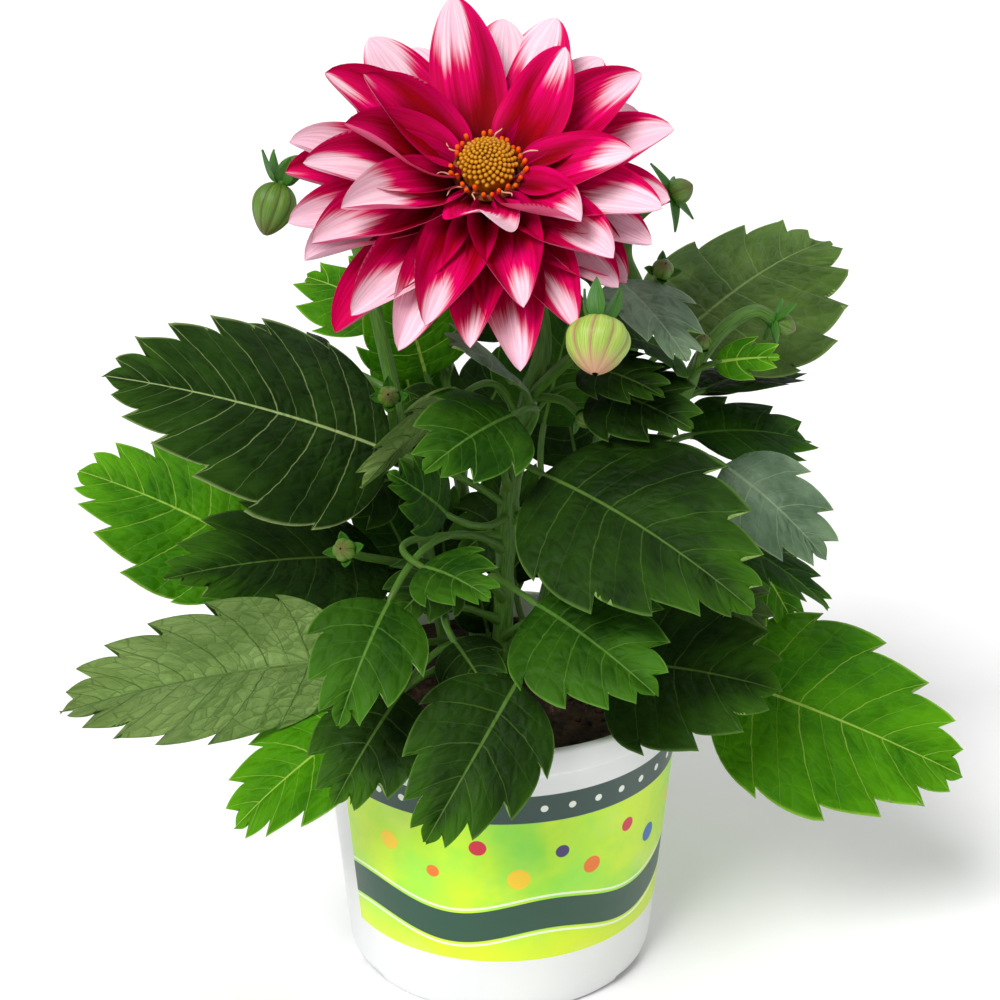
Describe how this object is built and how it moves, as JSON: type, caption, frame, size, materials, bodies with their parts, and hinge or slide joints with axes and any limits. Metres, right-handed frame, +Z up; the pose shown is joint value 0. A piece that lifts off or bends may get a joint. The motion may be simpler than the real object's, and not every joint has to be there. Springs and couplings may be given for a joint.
{
  "type": "potted dwarf dahlia",
  "caption": "Bushy dwarf dahlia in a round tapered nursery pot, with toothed leaves, nodding buds and one large two-tone open flower that faces forward and up.",
  "frame": {"origin": "middle of the pot's underside, on the surface it stands on", "axes": "+Z up, -Y the way the flower faces and +X to the viewer's right"},
  "size_m": [0.2884, 0.2157, 0.3268],
  "materials": {
    "pot_plastic": "satin white moulded plastic, printed all round with a lime to yellow-green sleeve and a dark green band",
    "soil": "coarse dark brown peat, rough and matt",
    "stem": "smooth green stem with a soft sheen",
    "leaf_dark": "dark green leaf with paler veins, soft sheen",
    "leaf_bright": "bright green leaf with paler veins, soft sheen",
    "leaf_pale": "pale sage underside with raised veins, matt",
    "petal": "crimson to magenta petal with white to pale pink tip, velvety",
    "flower_eye": "ochre disc of packed florets",
    "anthers": "orange anther tubes",
    "bud": "yellow-green ribbed bud with a pink blush"
  },
  "bodies": {
    "root": {"pot": "pot_plastic", "potting_soil": "soil", "ray_florets_inner": "petal", "ray_florets_second": "petal", "ray_florets_third": "petal", "ray_florets_outer": "petal", "disc_florets": "flower_eye", "anther_ring": "anthers", "calyx": "stem", "main_stem": "stem", "left_stem": "stem", "right_stem": "stem", "back_right_stem": "stem", "rear_stem": "stem", "leaf_left_upper": "leaf_dark", "leaf_left_bright": "leaf_bright", "leaf_left_middle": "leaf_dark", "leaf_left_pale": "leaf_pale", "leaf_front_left": "leaf_dark", "leaf_front_small": "leaf_dark", "leaf_low_left_bright": "leaf_bright", "leaf_low_left_dark": "leaf_dark", "leaf_front_low": "leaf_dark", "leaf_front_centre": "leaf_dark", "leaf_right_dark": "leaf_dark", "leaf_right_bright": "leaf_bright", "leaf_centre_large": "leaf_dark", "leaf_centre_left": "leaf_dark", "leaf_left_folded": "leaf_pale", "leaf_under_flower": "leaf_dark", "leaf_back_right_large": "leaf_dark", "leaf_right_folded": "leaf_dark", "leaf_right_inner": "leaf_dark", "leaf_right_middle": "leaf_dark", "leaf_right_curled": "leaf_dark", "leaf_right_upper_small": "leaf_dark", "leaf_right_middle_small": "leaf_dark", "leaf_right_edge": "leaf_dark", "leaf_right_lower_small": "leaf_bright", "leaf_right_pale": "leaf_pale", "leaf_back_left_pale": "leaf_pale", "leaf_inner_left": "leaf_dark", "leaf_inner_front": "leaf_dark", "leaf_rear_upper": "leaf_dark", "leaf_rear_left": "leaf_dark", "leaf_rear_right": "leaf_dark", "leaf_rear_low": "leaf_dark", "bud_front": "bud", "bud_left": "bud", "bud_right_back": "bud", "bud_right_tip": "bud", "bud_right_small": "bud", "bud_back_right_small": "bud", "bud_left_small": "bud", "bud_left_low": "bud", "bud_inner_small": "bud", "bud_rear": "bud"}
  },
  "joints": []
}
